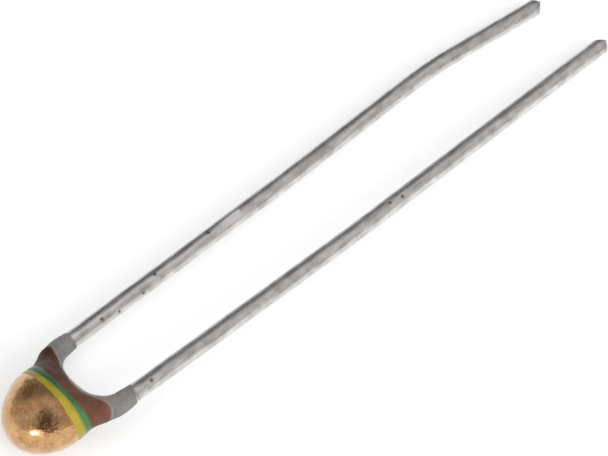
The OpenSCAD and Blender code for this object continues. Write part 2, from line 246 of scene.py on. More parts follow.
def coat_gap(p):
    """The gap to the skin, less than 0 inside it. Lacquer gathers in the hollows between
    shoulder and leg, and unevenly in the web between the legs."""
    hollows = sum(nearness(p * (1, side, side), HOLLOW_AT, HOLLOW_SIZE) for side in (LEFT, RIGHT))
    web = sum(WEB_FILL[side] * nearness(p, WEB_AT[side], WEB_SIZE) for side in (LEFT, RIGHT))
    both_legs = blend(leg_gap(p, LEFT), leg_gap(p, RIGHT), WEB_BLEND)
    return blend(body_gap(p), both_legs, NECK_BLEND + HOLLOW_FILL * hollows) - web


HALVINGS = 22


def hit(start, way):
    """Where rays from inside leave the skin, found by halving."""
    way = way / np.linalg.norm(way, axis=-1, keepdims=True)
    low = np.zeros(way.shape[:-1] + (1,))
    high = np.full_like(low, max(NOSE_L, BODY_W / 2) + SWELL)
    for _ in range(HALVINGS):
        middle = (low + high) / 2
        outside = coat_gap(start + way * middle)[..., None] > 0
        high = np.where(outside, middle, high)
        low = np.where(outside, low, middle)
    return start + way * low


def outward(p):
    """The skin's normals at its points."""
    step = 0.002
    g = np.stack([coat_gap(p + step * axis) - coat_gap(p - step * axis) for axis in np.eye(3)], -1)
    return g / np.linalg.norm(g, axis=-1, keepdims=True)


# ---- The skin as rings of points, in the order that the CAD model uses, only finer

AROUND = 192
HALF = AROUND // 2
NOSE_RINGS = 44
BODY_RINGS = 46
CROTCH_POINTS = 27
FAN_RINGS = 20
LEG_RINGS = 34
LIP_RINGS = 5
LIP_L = 0.03
LIP_SINK = 0.01
LEG_AROUND = HALF + 1 + CROTCH_POINTS

ring_angles = 360 * np.arange(AROUND) / AROUND
body_middle = np.array([0.0, 0.0, 0.0])
nose_middle = np.array([GOLD_EDGE_X, 0.0, 0.0])
crotch_x = hit(body_middle, np.array([1.0, 0.0, 0.0]))[0]
brown_x = crotch_x - BROWN_MARGIN
leg_y = root_inner(LEFT)[1]


def edge_ray(angle):
    """Start and direction of the rays to the loop where the body's rings meet the legs'."""
    c, s = cos(angle), sin(angle)
    x = brown_x + (BROWN_CLIMB + BROWN_SKEW * c) * c * c
    return np.stack([x, leg_y * c, -LEAD_RISE * c], -1), np.stack([np.zeros_like(c), c, s], -1)


def nose_ring(polar):
    """A ring of the nose, by its angle from the tip."""
    way = np.stack([np.full(AROUND, -cos(polar)), sin(polar) * cos(ring_angles),
                    sin(polar) * sin(ring_angles)], -1)
    return hit(nose_middle, way)


def body_ring(share):
    """A ring between the nose and the loop that the legs share."""
    start, way = edge_ray(ring_angles)
    return hit(nose_middle * (1 - share) + start * share, way)


crotch_angles = 90 - 180 * np.arange(1, CROTCH_POINTS + 1) / (CROTCH_POINTS + 1)


def first_rays(side):
    """A leg's first ring: its half of the shared loop, and the line over the crotch."""
    angles = 180 * np.arange(HALF + 1) / HALF - 90 + (0 if side == LEFT else 180)
    start, way = edge_ray(angles)
    over = np.stack([cos(crotch_angles), np.zeros(CROTCH_POINTS), side * sin(crotch_angles)], -1)
    middle = np.tile([brown_x, 0, 0], (CROTCH_POINTS, 1))
    return np.concatenate([start, middle]), np.concatenate([way, over])


def leg_station(side, share):
    """A point of the leg's path and its heading, from the fan's end to the coat's end."""
    arc_l = math.radians(root_turn(side)) * ROOT_BEND_R
    run_l = (COAT_END_X[side] - ROOT_BEND_X[side]) / cos(TOE[side])
    left_over = (1 - share) * (arc_l + run_l) - run_l
    if left_over > 0:
        return root_point(side, math.degrees(left_over / ROOT_BEND_R))
    return (ROOT_BEND_X[side] - left_over * cos(TOE[side]),
            LEAD_PITCH / 2 - left_over * sin(TOE[side]), TOE[side])


def leg_rays(side, share):
    """Rays square to the leg's path, some share of the way to the coat's end."""
    x, y, heading = leg_station(side, share)
    angle = 360 * (np.arange(LEG_AROUND) - HALF / 2) / LEG_AROUND
    along = COAT_END_SLANT[side] * smooth(2 * share - 1) * cos(angle)
    x, y = x + along * cos(heading), y + along * sin(heading)
    way = from_lead(-sin(heading) * cos(angle), cos(heading) * cos(angle), sin(angle), side, 0)
    return from_lead(x, y, 0 * angle, side, LEAD_RISE), way


def leg_rings(side):
    """Rings that fan out from the shared loop to the leg, and then follow the leg."""
    first_start, first_way = first_rays(side)
    start, way = leg_rays(side, 0)
    rings = []
    for i in range(1, FAN_RINGS + 1):
        t = i / FAN_RINGS
        rings.append(hit(first_start * (1 - t) + start * t, first_way * (1 - t) + way * t))
    for i in range(1, LEG_RINGS + 1):
        rings.append(hit(*leg_rays(side, i / LEG_RINGS)))
    return rings


def lip_rings(side, last):
    """The coat's rounded end, running down onto the wire."""
    start = leg_rays(side, 1)[0]
    along = from_lead(cos(TOE[side]), sin(TOE[side]), 0.0, side, 0)
    out = []
    spoke = last - start
    size = np.linalg.norm(spoke, axis=-1, keepdims=True)
    for k in range(1, LIP_RINGS + 1):
        turn = 90 * k / LIP_RINGS
        radius = WIRE_R - LIP_SINK + (size - WIRE_R + LIP_SINK) * cos(turn)
        out.append(start + spoke / size * radius + along * LIP_L * sin(turn))
    return out


def quads(a, b):
    """Faces between two closed loops of as many point numbers."""
    return [(a[i], a[(i + 1) % len(a)], b[(i + 1) % len(a)], b[i]) for i in range(len(a))]


def loops(first, count, size):
    """Point numbers of rings that follow each other."""
    return [[first + r * size + i for i in range(size)] for r in range(count)]


body = [nose_ring(90 * k / NOSE_RINGS) for k in range(1, NOSE_RINGS + 1)]
body += [body_ring(k / BODY_RINGS) for k in range(1, BODY_RINGS + 1)]
nose_tip = hit(nose_middle, np.array([-1.0, 0.0, 0.0]))
crotch = hit(np.tile([brown_x, 0, 0], (CROTCH_POINTS, 1)),
             np.stack([cos(crotch_angles), np.zeros(CROTCH_POINTS), sin(crotch_angles)], -1))
legs = {side: leg_rings(side) for side in (LEFT, RIGHT)}
lips = {side: lip_rings(side, legs[side][-1]) for side in (LEFT, RIGHT)}

skin_points = np.concatenate([nose_tip[None], *body, crotch, *legs[LEFT], *legs[RIGHT]])
skin_normals = outward(skin_points)
lip_points = np.concatenate([*lips[LEFT], *lips[RIGHT]])

body_loops = loops(1, len(body), AROUND)
edge_loop = body_loops[-1]
crotch_first = 1 + len(body) * AROUND
leg_first = crotch_first + CROTCH_POINTS
leg_count = FAN_RINGS + LEG_RINGS
over_crotch = list(range(crotch_first, leg_first))
left_half = [edge_loop[(j - AROUND // 4) % AROUND] for j in range(HALF + 1)]
right_half = [edge_loop[(j + AROUND // 4) % AROUND] for j in range(HALF + 1)]
left_loops = [left_half + over_crotch] + loops(leg_first, leg_count, LEG_AROUND)
right_loops = [right_half + over_crotch[::-1]]
right_loops += loops(leg_first + leg_count * LEG_AROUND, leg_count, LEG_AROUND)

skin_faces = [(0, body_loops[0][(i + 1) % AROUND], body_loops[0][i]) for i in range(AROUND)]
for rings in (body_loops, left_loops, right_loops):
    for a, b in zip(rings, rings[1:]):
        skin_faces += quads(a, b)


# ---- Pieces

def add_piece(name, points, faces, material, node, attributes):
    """A smooth mesh piece that rides on the root and stands for a CAD node."""
    mesh = bpy.data.meshes.new(name)
    mesh.from_pydata(np.asarray(points).tolist(), [], [list(map(int, f)) for f in faces])
    for key, values in attributes.items():
        layer = mesh.attributes.new(key, "FLOAT", "POINT")
        layer.data.foreach_set("value", np.asarray(values, np.float32))
    bm = bmesh.new()
    bm.from_mesh(mesh)
    bmesh.ops.recalc_face_normals(bm, faces=bm.faces)
    bm.to_mesh(mesh)
    bm.free()
    mesh.shade_smooth()
    mesh.materials.append(material)
    piece = bpy.data.objects.new(name, mesh)
    bpy.context.scene.collection.objects.link(piece)
    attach(piece, "root")
    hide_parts(node)


def shell(outer, inner, faces):
    """Closes a patch of faces with an inner side: points, faces and which outer points they are."""
    used = sorted({i for f in faces for i in f})
    number = {old: new for new, old in enumerate(used)}
    count = len(used)
    top = [tuple(number[i] for i in f) for f in faces]
    edges = dict.fromkeys((a, b) for f in top for a, b in zip(f, f[1:] + f[:1]))
    rim = [(a, b) for a, b in edges if (b, a) not in edges]
    under = [tuple(i + count for i in reversed(f)) for f in top]
    walls = [(b, a, a + count, b + count) for a, b in rim]
    return np.concatenate([outer[used], inner[used]]), top + under + walls, used


# ---- The coats' edges

# A soft uneven line, as a dipped edge has: waves round the body, share and turn by seed
RIPPLES = [(3, 1.0, 1.0), (7, 0.6, 2.3), (13, 0.4, 4.1)]
BAND_RIPPLE = 0.006
BROWN_RIPPLE = 0.007
BROWN_SEED = 5.0
# The brown edge's lowest place, as x and y, and how far and how fast it climbs to each side
BROWN_LOW = (0.48, -0.5)
BROWN_RISE = {LEFT: 0.78, RIGHT: 0.40}
BROWN_REACH = {LEFT: 1.58, RIGHT: 0.65}
BROWN_OUTER_DROP = 0.25


def ripple(p, size, seed):
    """How far a dipped edge wanders at a point."""
    angle = np.arctan2(p[..., 2], p[..., 1])
    return size * sum(share * np.sin(waves * angle + turn * seed) for waves, share, turn in RIPPLES)


def band_depth(p, middle, lean, oval, seed):
    """How far a point lies inside a colour band's edge, towards the nose."""
    angle = np.arctan2(p[..., 2], p[..., 1])
    edge = middle + lean * np.cos(angle) + oval * np.cos(2 * angle) + ripple(p, BAND_RIPPLE, seed)
    return edge - p[..., 0]


def brown_depth(p, normals):
    """The same for the brown coat, whose edge runs up both legs, less far on their outer sides."""
    low_x, low_y = BROWN_LOW
    y = p[..., 1]
    climb = 0
    for side in (LEFT, RIGHT):
        along = np.maximum(side * (y - low_y), 0) / BROWN_REACH[side]
        climb = climb + BROWN_RISE[side] * (1 - np.exp(-along ** 2))
    outer = np.maximum(normals[..., 1] * np.sign(y), 0)
    edge = low_x + climb - BROWN_OUTER_DROP * outer ** 3 + ripple(p, BROWN_RIPPLE, BROWN_SEED)
    return edge - p[..., 0]


EDGE_L = 0.2
EDGE_MARGIN = 0.05
EDGE_RUN_OUT = 0.4
EDGE_SINK = 0.03
BEAD_SHARE = 0.1
BEAD_AT = 0.06
BEAD_L = 0.04


def paint_piece(name, node, layer, depth, material):
    """One colour coat: full thickness inside its edge, a soft bead and a thin run-out at it."""
    rise = np.where(depth > 0, PAINT_T * smooth(depth / EDGE_L), EDGE_RUN_OUT * depth)
    bead = BEAD_SHARE * PAINT_T * np.exp(-((depth - BEAD_AT) / BEAD_L) ** 2)
    level = (layer - 1) * PAINT_T
    outer = skin_points + skin_normals * (level + rise + bead)[:, None]
    inner = skin_points + skin_normals * (level - EDGE_SINK)
    kept = [f for f in skin_faces if min(depth[i] for i in f) > -EDGE_MARGIN]
    points, faces, used = shell(outer, inner, kept)
    cover = np.concatenate([depth[used], depth[used]])
    add_piece(name, rested(points), faces, material, node, {"depth": cover})


def lacquer_piece(material, brown_cover):
    """The grey coat: the whole skin and both rounded ends, which close inside the wires."""
    points = np.concatenate([skin_points, lip_points])
    faces = list(skin_faces)
    first = len(skin_points)
    for leg in (left_loops, right_loops):
        rings = [leg[-1]] + loops(first, LIP_RINGS, LEG_AROUND)
        for a, b in zip(rings, rings[1:]):
            faces += quads(a, b)
        faces.append(tuple(rings[-1]))
        first += LIP_RINGS * LEG_AROUND
    cover = np.concatenate([brown_cover, np.full(len(lip_points), -1.0)])
    add_piece("grey_lacquer", rested(points), faces, material,
              "grey_lacquer_coat", {"depth": cover})


# ---- Leads: s is how far along the wire a place lies, from the soldered end

WIRE_SIDES = 56
WIRE_STEP = 0.04
# Depth, waves round the wire and turn by the millimetre
WIRE_UNEVEN = [(0.0012, 2, 0.9), (0.001, 3, 1.7)]
UPSIDE = {LEFT: 90, RIGHT: 270}

# Each pit's s and its angle round the wire, and each plier mark's s
PITS = {LEFT: [(4.1, 125), (4.75, 155), (5.8, 150), (6.5, 90), (8.9, 80)],
        RIGHT: [(3.55, 290), (14.1, 270), (14.6, 290)]}
PIT_L = 0.06
PIT_ANGLE = 12
PIT_DEPTH = 0.035
PLIER_MARKS = {LEFT: [18.2, 18.6, 19.2, 19.6, 20.3], RIGHT: [16.2, 16.5]}
PLIER_L = 0.04
PLIER_LEAN = 0.35
PLIER_ANGLE = 40
PLIER_DEPTH = 0.01
FLAT_FROM = 9.0
FLAT_TO = 10.3
FLAT_START_L = 0.8
FLAT_STEP_L = 0.05
FLAT_ANGLE = 103
FLAT_DEPTH = 0.03
FLAT_SHINE_TO = 37.5
FLAT_SHINE_FADE = 15
# Brighter tin on the upper side just past the coat's end
PAST_COAT_L = 0.4
PAST_COAT_OFF = 5
PAST_COAT_ANGLE = 35
# A painted highlight: a bright streak along the top of the left lead, swaying round it
STREAK_TO = 9.5
STREAK_FADE_L = 0.6
STREAK_HIGHLIGHT = 0.8
STREAK_OFF = 12
STREAK_SWAYS = [(5, 1.9), (3, 4.3)]
STREAK_ANGLE = 9
# Painted shadow: a dark line round the wire just past the coat's end
COAT_LINE_AT = 0.02
COAT_LINE_L = 0.03
COAT_LINE_SHADE = 0.5

TIP_L = 0.4
TIP_STEPS = 8
FACET_STEPS = 8
TIP_OVERRUN = 0.06
TIP_TILT = 0.12
RIDGE_OFF = 0.08
CUT_MARK_FROM = 0.45
CUT_MARK_FADE = 0.3
CUT_DIRT = 0.3

wire_angles = 360 * np.arange(WIRE_SIDES) / WIRE_SIDES


def off_from(middle, angles):
    """Angles round the wire, counted from a middle, from -180 to 180."""
    return (angles - middle + 180) % 360 - 180


def pits(side, s, angles):
    """1 in the middle of each small pit."""
    return sum(np.exp(-((s - at) / PIT_L) ** 2 - (off_from(around, angles) / PIT_ANGLE) ** 2)
               for at, around in PITS[side])


def in_flat(side, s):
    """1 along the left lead's flat patch, which starts softly and ends in a step."""
    begun = smooth((s - FLAT_FROM) / FLAT_START_L)
    return (side == LEFT) * begun * smooth((FLAT_TO - s) / FLAT_STEP_L)


def dent(side, s, angles):
    """How far the surface lies below a true round, at a distance along and an angle round."""
    uneven = sum(depth * np.sin(waves * np.radians(angles) + turn * s)
                 for depth, waves, turn in WIRE_UNEVEN)
    off = off_from(UPSIDE[side], angles)
    lean = PLIER_LEAN * off / 90
    marks = sum(np.exp(-((s - at - lean) / PLIER_L) ** 2) for at in PLIER_MARKS[side])
    chord = (WIRE_R - FLAT_DEPTH) / np.maximum(cos(off_from(FLAT_ANGLE, angles)), 0.5)
    flat = np.maximum(WIRE_R - chord, 0) * in_flat(side, s)
    return (uneven + PIT_DEPTH * pits(side, s, angles) + flat
            + PLIER_DEPTH * marks * np.exp(-(off / PLIER_ANGLE) ** 2))


def painted_highlight_and_bright_tin(side, s, angles, coat_end):
    """A painted highlight in a streak along the top of the left lead, and brighter tin on the upper
    side just past the coat and on the flat patch.
    """
    off = off_from(UPSIDE[side], angles)
    past_coat = smooth(1 - (s - coat_end) / PAST_COAT_L)
    past_coat = past_coat * np.exp(-((off - side * PAST_COAT_OFF) / PAST_COAT_ANGLE) ** 2)
    from_flat = abs(off_from(FLAT_ANGLE, angles))
    flat = in_flat(side, s) * smooth((FLAT_SHINE_TO - from_flat) / FLAT_SHINE_FADE)
    middle = STREAK_OFF + sum(sway * np.sin(turn * s) for sway, turn in STREAK_SWAYS)
    streak = (side == LEFT) * STREAK_HIGHLIGHT * smooth((STREAK_TO - s) / STREAK_FADE_L)
    return np.clip(past_coat + flat + streak * np.exp(-((off - middle) / STREAK_ANGLE) ** 2), 0, 1)


def wire_ring(side, station, s):
    """One ring of the wire, with its marks."""
    x, y, heading = station
    radius = WIRE_R - dent(side, s, wire_angles)
    out = radius * cos(wire_angles)
    return from_lead(x - sin(heading) * out, y + cos(heading) * out,
                     radius * sin(wire_angles), side, LEAD_RISE)


def cut_tip(side, station, first):
    """The wedge at a lead's end: its rings, how far their points lie behind the ridge, the
    flanks' points and the flanks' faces. The rings stretch out to the two flanks, and strips
    from the last ring, whose points are numbered from first, close each flank to the ridge."""
    x, y, heading = station
    to_tip = (REACH[side] - x) / cos(heading) + TIP_OVERRUN
    ridge = -side * RIDGE_OFF
    out, up = WIRE_R * cos(wire_angles), WIRE_R * sin(wire_angles)
    flank = np.where(out > ridge, OUTER_FLANK, INNER_FLANK)
    limit = to_tip - np.abs(out - ridge) * np.tan(np.radians(flank))

    def place_at(along, across, high):
        along = along - TIP_TILT * side * high * smooth(along / to_tip)
        return from_lead(x + along * cos(heading) - across * sin(heading),
                         y + along * sin(heading) + across * cos(heading), high, side, LEAD_RISE)

    steps = [k / TIP_STEPS for k in range(1, TIP_STEPS + 1)]
    rings = [place_at(limit * step, out, up) for step in steps]
    behind = np.concatenate([to_tip - limit * step for step in steps])

    # Columns of each flank, from the wire's edge to the ridge, at equal heights on both flanks
    points = []
    next_point = first + WIRE_SIDES
    quarter = WIRE_SIDES // 4
    columns = {}
    for j in range(WIRE_SIDES):
        column = [first + j]
        if j % (2 * quarter) != quarter:
            for k in range(FACET_STEPS - 1, 0, -1):
                share = k / FACET_STEPS
                column.append(next_point + len(points))
                points.append(place_at(to_tip + (limit[j] - to_tip) * share,
                                       ridge + (out[j] - ridge) * share, up[j]))
        columns[j] = column
    ridge_points = {}
    for j in range(quarter - 1, -quarter, -1):
        ridge_points[j] = next_point + len(points)
        points.append(place_at(to_tip, ridge, up[j % WIRE_SIDES]))

    faces = []
    for j in range(-quarter, quarter):
        for near, far in ((j, j + 1), (2 * quarter - j, 2 * quarter - j - 1)):
            a, b = columns[near % WIRE_SIDES], columns[far % WIRE_SIDES]
            a = a + ([ridge_points[j]] if j in ridge_points else [])
            b = b + ([ridge_points[j + 1]] if j + 1 in ridge_points else [])
            if len(a) == 1:
                faces += [(a[0], b[k], b[k + 1]) for k in range(len(b) - 1)]
            elif len(b) == 1:
                faces += [(b[0], a[k + 1], a[k]) for k in range(len(a) - 1)]
            else:
                faces += [(a[k], b[k], b[k + 1], a[k + 1]) for k in range(len(a) - 1)]
    return rings, behind, points, faces


def lead_piece(side, name, node, material):
    """A round wire swept along its path, with its marks, and cut to a wedge at the tip."""
    stations = lead_stations(side, WIRE_STEP)
    reach = np.concatenate([[0], np.cumsum(np.hypot(*np.diff(stations[:, :2], axis=0).T))])
    kept = reach < reach[-1] - TIP_L
    stations, reach = stations[kept], reach[kept]
    coat_end = np.interp(COAT_END_X[side], stations[:, 0], reach)

    rings = [wire_ring(side, station, s) for station, s in zip(stations, reach)]
    ring_count = len(rings) + TIP_STEPS
    tip_rings, behind, tip_points, tip_faces = cut_tip(side, stations[-1],
                                                       (ring_count - 1) * WIRE_SIDES)
    points = np.concatenate(rings + tip_rings + [np.array(tip_points)])
    faces = [tuple(reversed(range(WIRE_SIDES)))]
    wire_loops = loops(0, ring_count, WIRE_SIDES)
    for a, b in zip(wire_loops, wire_loops[1:]):
        faces += quads(a, b)

    # Painted shade in the pits and a painted shadow line at the coat's end, and dirt where the
    # cutter pressed just behind its cut
    s, around = np.repeat(reach, WIRE_SIDES), np.tile(wire_angles, len(reach))
    line = COAT_LINE_SHADE * np.exp(-((s - coat_end - COAT_LINE_AT) / COAT_LINE_L) ** 2)
    pressed = CUT_DIRT * smooth((CUT_MARK_FROM - behind) / CUT_MARK_FADE)
    painted_shade_and_dirt = np.concatenate([np.clip(pits(side, s, around) + line, 0, 1), pressed,
                           np.full(len(tip_points), CUT_DIRT)])
    # A painted highlight streak, and brighter tin past the coat's end and on the flat patch
    bright = np.zeros(len(points))
    bright[:len(s)] = painted_highlight_and_bright_tin(side, s, around, coat_end)
    add_piece(name, rested(points), faces + tip_faces, material, node,
              {"painted_shade_and_dirt": painted_shade_and_dirt, "painted_highlight_and_bright_tin": bright})


# ---- Materials: colours as the eye reads them, patterns by the millimetre

def colour(red, green, blue):
    """A colour from its usual 0 to 255 values."""
    parts = [c / 255 for c in (red, green, blue)]
    return [c / 12.92 if c <= 0.04045 else ((c + 0.055) / 1.055) ** 2.4 for c in parts] + [1.0]


WHITE = colour(255, 255, 255)


def add(tree, kind, sockets=None, **settings):
    """A shader node with its settings made and its sockets set or linked."""
    made = tree.nodes.new("ShaderNode" + kind)
    for key, value in settings.items():
        setattr(made, key, value)
    for key, value in (sockets or {}).items():
        if isinstance(value, bpy.types.NodeSocket):
            tree.links.new(value, made.inputs[key])
        else:
            made.inputs[key].default_value = value
    return made


def shaded(name, **sockets):
    """A new material, its node tree and its shader, with the given sockets set."""
    material = bpy.data.materials.new(name)
    material.use_nodes = True
    tree = material.node_tree
    shader = tree.nodes["Principled BSDF"]
    for key, value in sockets.items():
        shader.inputs[key.replace("_", " ")].default_value = value
    return material, tree, shader


def place(tree, stretch=(1, 1, 1)):
    """Object coordinates in millimetres, squeezed along each axis as asked."""
    at = add(tree, "TexCoord").outputs["Object"]
    return add(tree, "Mapping", {"Vector": at, "Scale": [s / MM for s in stretch]}).outputs[0]


def noise(tree, at, scale, detail=2.0):
    """Soft noise from 0 to 1, finer at a larger scale."""
    return add(tree, "TexNoise", {"Vector": at, "Scale": scale, "Detail": detail}).outputs["Fac"]


def spread(tree, value, low, high, at_low=0.0, at_high=1.0):
    """A value mapped to low where it is at_low and to high where it is at_high."""
    sockets = {"Value": value, "From Min": at_low, "From Max": at_high,
               "To Min": low, "To Max": high}
    return add(tree, "MapRange", sockets).outputs[0]


def mix(tree, share, a, b):
    """From colour a, at share 0, to colour b. A Mix node's colour sockets are 6 and 7."""
    return add(tree, "Mix", {0: share, 6: a, 7: b}, data_type="RGBA").outputs[2]


def maths(tree, operation, a, b):
    """Two values joined by a Math node's operation."""
    return add(tree, "Math", {0: a, 1: b}, operation=operation).outputs[0]


def bump(tree, height, depth, strength=1.0):
    """A normal from a height, with its depth in millimetres."""
    sockets = {"Height": height, "Distance": depth * MM, "Strength": strength}
    return add(tree, "Bump", sockets).outputs[0]


def link(tree, socket, shader, name):
    tree.links.new(socket, shader.inputs[name])


def stored(tree, name):
    """A value that the mesh holds for each point."""
    return add(tree, "Attribute", attribute_name=name).outputs["Fac"]


def paint(name, shaded_left, lit_right, under, scale, rough_low, rough_high, gloss):
    """A glossy paint: uneven, with painted shade that darkens it from its lit right colour to its
    shaded left colour, and thin at its edge.
    """
    material, tree, shader = shaded(name, Specular_IOR_Level=gloss)
    at = place(tree)
    cloud = spread(tree, noise(tree, at, scale, 3.0), -1.2, 1.2, 0.3, 0.7)
    across = add(tree, "SeparateXYZ", {0: at}).outputs["Y"]
    drift = maths(tree, "ADD", across, cloud)
    # Painted shade and light: the shaded left colour towards +Y, the lit right colour towards -Y,
    # with noise between
    body_colour = mix(tree, spread(tree, drift, 0, 1, -1.6, 1.6), lit_right, shaded_left)
    thin = spread(tree, stored(tree, "depth"), 0.7, 0.0, -0.02, 0.1)
    link(tree, mix(tree, thin, body_colour, under), shader, "Base Color")
    rough = spread(tree, noise(tree, at, 2.2 * scale), rough_low, rough_high, 0.3, 0.7)
    link(tree, rough, shader, "Roughness")
    link(tree, bump(tree, noise(tree, at, 7.0, 3.0), 0.006, 0.5), shader, "Normal")
    return material


def gold_paint():
    """Metal flakes in clear lacquer, each with its own tone and gloss."""
    material, tree, shader = shaded("gold_paint", Metallic=0.97, Coat_Weight=0.5,
                                    Coat_Roughness=0.2)
    at = place(tree)
    flakes = add(tree, "TexVoronoi", {"Vector": at, "Scale": 22.0})
    flake = add(tree, "SeparateColor", {"Color": flakes.outputs["Color"]}).outputs[0]
    cloud = spread(tree, noise(tree, at, 3.0, 3.0), 0, 1, 0.35, 0.65)
    tone = mix(tree, cloud, colour(168, 116, 66), colour(206, 154, 98))
    tone = mix(tree, spread(tree, flake, 0.0, 0.4), tone, colour(238, 200, 150))
    link(tree, tone, shader, "Base Color")
    link(tree, spread(tree, flake, 0.14, 0.26), shader, "Roughness")
    peel = maths(tree, "ADD", spread(tree, flake, 0, 0.25), noise(tree, at, 7.0, 3.0))
    link(tree, bump(tree, peel, 0.006), shader, "Normal")
    return material


def grey_lacquer():
    """Matt mottled lacquer, with a paler, pinker line beside the brown coat: partly a thin brown
    tint, partly a painted grazing highlight.
    """
    material, tree, shader = shaded("grey_lacquer", Specular_IOR_Level=0.4)
    at = place(tree)
    mottle = mix(tree, spread(tree, noise(tree, at, 2.2, 5.0), 0, 1, 0.35, 0.65),
                 colour(122, 121, 120), colour(150, 147, 143))
    # Partly a brown tint, partly a painted highlight where the coat's edge catches light at a
    # grazing angle
    rim = spread(tree, stored(tree, "depth"), 0.0, 0.45, -0.09, -0.01)
    link(tree, mix(tree, rim, mottle, colour(170, 152, 146)), shader, "Base Color")
    link(tree, spread(tree, noise(tree, at, 3.0), 0.36, 0.52, 0.3, 0.7), shader, "Roughness")
    link(tree, bump(tree, noise(tree, at, 6.0, 4.0), 0.01, 0.5), shader, "Normal")
    return material


def tinned_wire():
    """Streaky tin, with the painted highlight, the brighter tin, the painted shade and the dirt
    that the mesh holds.
    """
    material, tree, shader = shaded("tinned_wire", Metallic=1.0)
    streaks = noise(tree, place(tree, (0.12, 1, 1)), 9.0, 4.0)
    blotch = noise(tree, place(tree), 2.5, 4.0)
    uneven = spread(tree, maths(tree, "ADD", streaks, blotch), 0, 1, 0.75, 1.25)
    tin = mix(tree, uneven, colour(184, 181, 178), colour(232, 230, 228))
    # Painted highlight along the left lead, and brighter tin past the coat and on the flat
    tin = mix(tree, stored(tree, "painted_highlight_and_bright_tin"), tin, colour(246, 244, 243))
    # Painted shade in the pits and at the coat's end, and dirt at the cut tip
    tin = mix(tree, stored(tree, "painted_shade_and_dirt"), tin, colour(52, 50, 48))
    link(tree, tin, shader, "Base Color")
    link(tree, spread(tree, streaks, 0.28, 0.4, 0.3, 0.7), shader, "Roughness")
    link(tree, bump(tree, streaks, 0.004, 0.5), shader, "Normal")
    return material


def grained(name, metallic, scale, detail, dark, light, rough_low, rough_high):
    """A material whose colour and roughness follow one fine grain."""
    material, tree, shader = shaded(name, Metallic=metallic)
    grain = noise(tree, place(tree), scale, detail)
    link(tree, mix(tree, grain, dark, light), shader, "Base Color")
    link(tree, spread(tree, grain, rough_low, rough_high), shader, "Roughness")
    return material


# What shows through the thin edge of the coat above
GREEN = colour(64, 112, 64)
BROWN = colour(92, 60, 48)
GREY = colour(138, 120, 112)

# Each paint's first colour is painted shade for its left side, its second painted light for its
# right side
yellow_material = paint("yellow_paint", colour(164, 148, 30), colour(186, 166, 50), GREEN,
                        2.0, 0.3, 0.4, 0.35)
green_material = paint("green_paint", colour(48, 88, 54), colour(76, 132, 80), BROWN,
                       1.6, 0.3, 0.4, 0.35)
brown_material = paint("brown_paint", colour(76, 48, 36), colour(126, 86, 70), GREY,
                       1.4, 0.44, 0.56, 0.12)
silver = grained("fired_silver", 0.9, 14.0, 3.0, colour(206, 204, 198), colour(232, 231, 227),
                 0.45, 0.6)
solder = grained("solder_alloy", 1.0, 6.0, 3.0, colour(160, 160, 162), colour(196, 196, 198),
                 0.22, 0.4)
ceramic = grained("fired_ceramic", 0.0, 18.0, 4.0, colour(44, 42, 42), colour(66, 64, 62),
                  0.55, 0.75)
tin = tinned_wire()

# ---- The part

# Each band's edge: its place along the body, lean to the left side, ovalness and ripple seed
GREEN_EDGE = (0.1, 0.0, 0.02, 1.0)
YELLOW_EDGE = (-0.11, -0.04, 0.0, 2.0)
GOLD_EDGE = (-0.355, 0.0, -0.01, 3.0)

brown_cover = brown_depth(skin_points, skin_normals)
lacquer_piece(grey_lacquer(), brown_cover)
paint_piece("brown_paint", "brown_coat", 1, brown_cover, brown_material)
paint_piece("green_paint", "green_coat", 2, band_depth(skin_points, *GREEN_EDGE), green_material)
paint_piece("yellow_paint", "yellow_coat", 3, band_depth(skin_points, *YELLOW_EDGE),
            yellow_material)
paint_piece("gold_paint", "gold_coat", 4, band_depth(skin_points, *GOLD_EDGE), gold_paint())
lead_piece(LEFT, "left_wire", "left_lead", tin)
lead_piece(RIGHT, "right_wire", "right_lead", tin)

INSIDE = {"ceramic_chip": ceramic, "upper_electrode": silver, "lower_electrode": silver,
          "upper_solder_joint": solder, "lower_solder_joint": solder}
for node, material in INSIDE.items():
    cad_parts[node].data.materials.clear()
    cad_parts[node].data.materials.append(material)

# ---- Stage, light and camera

FLOOR_W = 3.0
FLOOR_GLOW = 0.4
WORLD_LIGHT = 0.4
SHELL_R = 0.9
SHELL_NEAR = 0.62
SHELL_FAR = 0.17
# The room's dark side, and how near to it, as a cosine, the dark begins and is full
DARK_AZIMUTH = 70.0
DARK_ELEVATION = 30.0
DARK_FROM = 0.62
DARK_FULL = 0.98

# Places round the body go by azimuth from +X and elevation, in degrees, and distance
BODY_X = -10.8
AIM_Z = 1.0
# Azimuth, elevation, distance, size, radiance, and whether the metal mirrors the lamp
LAMPS = {"main_lamp": (-80, 34, 330, 240, 2.4, False),
         "top_lamp": (-120, 80, 330, 240, 1.0, False),
         "low_lamp": (-141, 2.5, 150, 24, 16.0, True)}
CARD_AZIMUTHS = (-140, -117)
CARD_ELEVATIONS = (0.5, 20, 40, 60, 80)
CARD_DISTANCE = 300


def on_stage(name, mesh, material):
    """An object that is not part of the model."""
    mesh.materials.append(material)
    made = bpy.data.objects.new(name, mesh)
    bpy.context.scene.collection.objects.link(made)
    return made


def flat_mesh(name, points, faces):
    mesh = bpy.data.meshes.new(name)
    mesh.from_pydata(points, [], faces)
    return mesh


def stage_material(name):
    """A material and its node tree, empty but for the output."""
    material = bpy.data.materials.new(name)
    material.use_nodes = True
    material.node_tree.nodes.clear()
    return material, material.node_tree


def seen_directly(tree):
    """1 for what the camera sees, straight, mirrored or through glass, and 0 for plain light."""
    path = add(tree, "LightPath").outputs
    seen = maths(tree, "MAXIMUM", path["Is Camera Ray"], path["Is Glossy Ray"])
    return maths(tree, "MAXIMUM", seen, path["Is Transmission Ray"])


